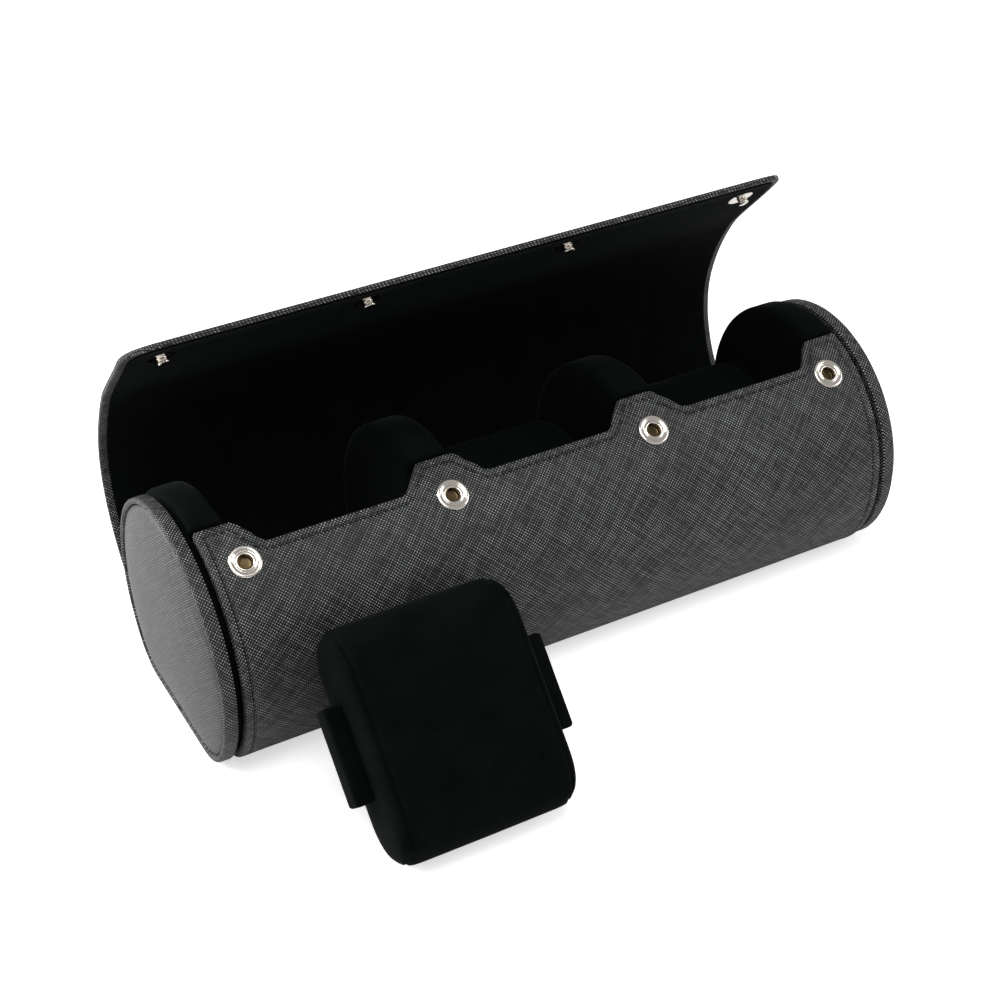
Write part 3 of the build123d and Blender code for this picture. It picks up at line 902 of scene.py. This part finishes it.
def leather(name, shaded_hollows, ridge_highlight, pitch, depth, low_gloss, high_gloss, shine):
    """A cross-grained leather on a flat pattern's UV map."""
    material, tree, shader, coords = new_material(name)
    pattern = put(tree, "ShaderNodeUVMap", uv_map="pattern").outputs[0]
    pressed = use_group(tree, grain, pattern, Pitch=pitch, Wander=0.7)
    worn = use_group(tree, handling, coords.outputs["Object"], Size=0.035, Contrast=1.0)
    # The grain's ridges are painted light as a highlight and its hollows painted dark as shade; the
    # handling patches make the painted highlight uneven.
    highlight_crest = put(tree, "ShaderNodeMapRange", {
        "Value": pressed.outputs["Height"], "From Min": 0.25, "From Max": 0.95})
    highlight_patches = calc(tree, "MULTIPLY_ADD", worn.outputs["Patches"], 0.8, 0.5)
    share = calc(tree, "MULTIPLY", highlight_crest.outputs[0], highlight_patches, clamp=True)
    tree.links.new(blend_of(tree, share, shaded_hollows, ridge_highlight), shader.inputs["Base Color"])
    gloss = put(tree, "ShaderNodeMapRange", {
        "Value": worn.outputs["Patches"], "To Min": low_gloss, "To Max": high_gloss})
    tree.links.new(gloss.outputs[0], shader.inputs["Roughness"])
    bump = put(tree, "ShaderNodeBump", {
        "Strength": 0.85, "Distance": depth, "Height": pressed.outputs["Height"]})
    tree.links.new(bump.outputs[0], shader.inputs["Normal"])
    shader.inputs["Specular IOR Level"].default_value = shine
    return material


# Each leather's light ridge colour is a painted highlight, and its near-black hollow colour holds painted
# shade.
saffiano = leather(
    "saffiano", shaded_hollows=(0.0008, 0.001, 0.0012), ridge_highlight=(0.54, 0.56, 0.565), pitch=0.00078, depth=0.0003,
    low_gloss=0.48, high_gloss=0.6, shine=0.35)
fine_leather = leather(
    "fine_leather", shaded_hollows=(0.006, 0.006, 0.0072), ridge_highlight=(0.3, 0.285, 0.31), pitch=0.0007, depth=0.00016,
    low_gloss=0.38, high_gloss=0.48, shine=0.5)
print("leathers:", saffiano.name, fine_leather.name)

# %% [markdown]
# Black velvet hardly reflects any light straight on. Its short pile only lights up along crests,
# where one looks across it. That is what the shader's sheen does, over an almost black base. The
# nap leans one way or another in soft patches, which change the colour and the bump a little.

# %% Velvet, thread and metals


def velvet_material():
    """Short-pile black velvet."""
    material, tree, shader, coords = new_material("velvet")
    nap = use_group(tree, handling, coords.outputs["Object"], Size=0.012, Contrast=2.2)
    dark = blend_of(tree, nap.outputs["Patches"], (0.0011, 0.0016, 0.0015), (0.0027, 0.0035, 0.0033))
    dust = calc(tree, "MULTIPLY", nap.outputs["Specks"], 0.25)
    lint = put(tree, "ShaderNodeMix", {0: dust, 6: dark, 7: (0.03, 0.032, 0.034, 1)}, data_type="RGBA")
    tree.links.new(lint.outputs[2], shader.inputs["Base Color"])
    pile = put(tree, "ShaderNodeTexNoise", {
        "Vector": coords.outputs["Object"], "Scale": 2600.0, "Detail": 2.0})
    total = calc(tree, "ADD", pile.outputs["Fac"], calc(tree, "MULTIPLY", nap.outputs["Patches"], 1.5))
    bump = put(tree, "ShaderNodeBump", {"Strength": 0.5, "Distance": 0.00012, "Height": total})
    tree.links.new(bump.outputs[0], shader.inputs["Normal"])
    shader.inputs["Roughness"].default_value = 0.95
    shader.inputs["Specular IOR Level"].default_value = 0.04
    shader.inputs["Sheen Weight"].default_value = 0.025
    shader.inputs["Sheen Roughness"].default_value = 0.28
    shader.inputs["Sheen Tint"].default_value = (0.75, 0.85, 0.9, 1)
    return material


def metal(name, colour, worn_colour, low, high, size):
    """A plated metal with uneven polish."""
    material, tree, shader, coords = new_material(name)
    worn = use_group(tree, handling, coords.outputs["Object"], Size=size, Contrast=2.0)
    tint = blend_of(tree, worn.outputs["Patches"], colour, worn_colour)
    tree.links.new(tint, shader.inputs["Base Color"])
    polish = put(tree, "ShaderNodeMapRange", {
        "Value": worn.outputs["Patches"], "To Min": low, "To Max": high})
    tree.links.new(polish.outputs[0], shader.inputs["Roughness"])
    bump = put(tree, "ShaderNodeBump", {
        "Strength": 0.15, "Distance": 0.00002, "Height": worn.outputs["Patches"]})
    tree.links.new(bump.outputs[0], shader.inputs["Normal"])
    shader.inputs["Metallic"].default_value = 1.0
    return material


def thread_material():
    """Dark polyester thread with a fine twist."""
    material, tree, shader, coords = new_material("thread")
    twist = put(tree, "ShaderNodeTexNoise", {
        "Vector": coords.outputs["Object"], "Scale": 4200.0, "Detail": 1.0})
    tint = blend_of(tree, twist.outputs["Fac"], (0.006, 0.007, 0.008), (0.03, 0.032, 0.035))
    tree.links.new(tint, shader.inputs["Base Color"])
    bump = put(tree, "ShaderNodeBump", {
        "Strength": 0.4, "Distance": 0.00005, "Height": twist.outputs["Fac"]})
    tree.links.new(bump.outputs[0], shader.inputs["Normal"])
    shader.inputs["Roughness"].default_value = 0.5
    return material


velvet = velvet_material()
thread = thread_material()
nickel = metal("nickel", (0.86, 0.82, 0.75), (0.7, 0.65, 0.58), 0.1, 0.24, 0.004)
# A very dark brass, which paints the shade inside the snaps.
spring_brass = metal("spring_brass", (0.13, 0.09, 0.045), (0.05, 0.035, 0.02), 0.25, 0.45, 0.002)
print("finishes:", [m.name for m in (velvet, thread, nickel, spring_brass)])

# %% [markdown]
# Now every piece gets its finish. Most pieces ride on a body, but the lengths of the lid and their
# stitches ride on none. A socket's bore takes a dark brass, which paints the shade in its hole. The
# springs and backs of the snaps are the packed case's own and only take a better material; the
# springs take the same dark brass, as painted shade.

# %% Finishes and bodies


def finish_piece(piece, material, body=None):
    """Gives a piece its material and the body it rides on."""
    piece.data.materials.clear()
    piece.data.materials.append(material)
    if body:
        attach(piece, body)


finish_piece(body_skin, saffiano, "case")
finish_piece(body_velvet, velvet, "case")
finish_piece(body_stitches, thread, "case")
finish_piece(sockets, nickel, "case")
sockets.data.materials.append(spring_brass)
# The faces deep in each socket's bore take the dark brass, as painted shade in the hole.
bore_from = -0.25 * mm
outward = Vector((0, -sin(snap_turn), cos(snap_turn)))
for face in sockets.data.polygons:
    face.material_index = int((face.center - Vector((0, front_y, front_z))).dot(outward) < bore_from)
finish_piece(studs, nickel, "lid_flap")
for block in blocks:
    finish_piece(block, velvet, "case")
for band, face in caps:
    finish_piece(band, saffiano, "case")
    finish_piece(face, fine_leather, "case")
for piece, body in pillows:
    finish_piece(piece, velvet, body)
lid_finishes = (
    (lid_leather, saffiano, "saffiano"), (lid_velvet, velvet, "velvet"), (lid_stitches, thread, "saffiano"))
for parts, material, slot_name in lid_finishes:
    for part in parts:
        finish_piece(part, material)
    bend_between(parts)

# The springs inside the snaps take the dark brass too, as painted shade.
finish_piece(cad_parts["snap_springs"], spring_brass)
for node_name in ("snap_socket_backs", "snap_stud_backs"):
    finish_piece(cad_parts[node_name], nickel)

# %% [markdown]
# The case stands on a pale floor in a plain studio, and a pale surround gives the metal something
# to reflect. The surround and the floor are brighter for the camera than for the case, so the page
# looks white without more light.

# %% Floor and surround
floor_glow = 0.6
surround_cast, surround_seen = 0.4, 1.0
bpy.ops.mesh.primitive_plane_add(size=6)
floor = named("floor")
paper = bpy.data.materials.new("paper")
paper.use_nodes = True
tree = paper.node_tree
tree.nodes.remove(tree.nodes["Principled BSDF"])
seen = put(tree, "ShaderNodeLightPath")
matt = put(tree, "ShaderNodeBsdfDiffuse", {"Color": (0.82, 0.82, 0.82, 1)})
glow_seen = calc(tree, "MULTIPLY", seen.outputs["Is Camera Ray"], floor_glow)
glow = put(tree, "ShaderNodeEmission", {"Strength": glow_seen})
both = put(tree, "ShaderNodeAddShader", {0: matt.outputs[0], 1: glow.outputs[0]})
tree.links.new(both.outputs[0], tree.nodes["Material Output"].inputs["Surface"])
floor.data.materials.append(paper)

world = bpy.data.worlds.new("surround")
bpy.context.scene.world = world
world.use_nodes = True
tree = world.node_tree
seen = put(tree, "ShaderNodeLightPath")
strength = put(tree, "ShaderNodeMapRange", {
    "Value": seen.outputs["Is Camera Ray"], "To Min": surround_cast, "To Max": surround_seen})
tree.links.new(strength.outputs[0], tree.nodes["Background"].inputs["Strength"])
tree.nodes["Background"].inputs["Color"].default_value = (1, 1, 1, 1)
print("floor glow", floor_glow, "and surround", surround_cast, "for the case,", surround_seen, "when seen")

# %% [markdown]
# One large soft light above the front draws the broad sheen on the leather, a second from the
# right fills the shadow side, and a third from the rear left lights the left cap and the lid's
# edge. Large lamps give soft shadows and glints, as a studio's cloth boxes do.

# %% Lights
aim = (0, 0, 0.04)


def soft_light(name, place, target, size, power):
    """A square soft light that looks at a target."""
    bpy.ops.object.light_add(type="AREA", location=place)
    lamp = bpy.context.object
    lamp.name = name
    lamp.data.size, lamp.data.energy = size, power
    lamp.rotation_euler = (Vector(target) - Vector(place)).to_track_quat("-Z", "Y").to_euler()


soft_light("overhead", (-0.25, -0.35, 1.1), aim, size=0.7, power=9)
soft_light("right_fill", (0.9, -0.5, 0.6), aim, size=0.5, power=3)
soft_light("left_edge", (-0.8, 0.6, 0.4), (-0.1, 0, 0.04), size=0.4, power=12)

# %% [markdown]
# The camera stands to the left of the front and above, with a moderately long lens, so that the
# roll runs away to the upper right.

# %% Camera
bpy.ops.object.camera_add(location=(-0.2499, -0.4397, 0.4093),
                          rotation=(radians(90 - 36.241), 0, radians(-28.977)))
camera = bpy.context.object
camera.data.lens = 73.33
camera.data.sensor_width = 36
bpy.context.scene.camera = camera
bpy.context.scene.view_settings.view_transform = "Standard"
bpy.context.view_layer.update()
print("camera lens", round(camera.data.lens, 2), "mm")
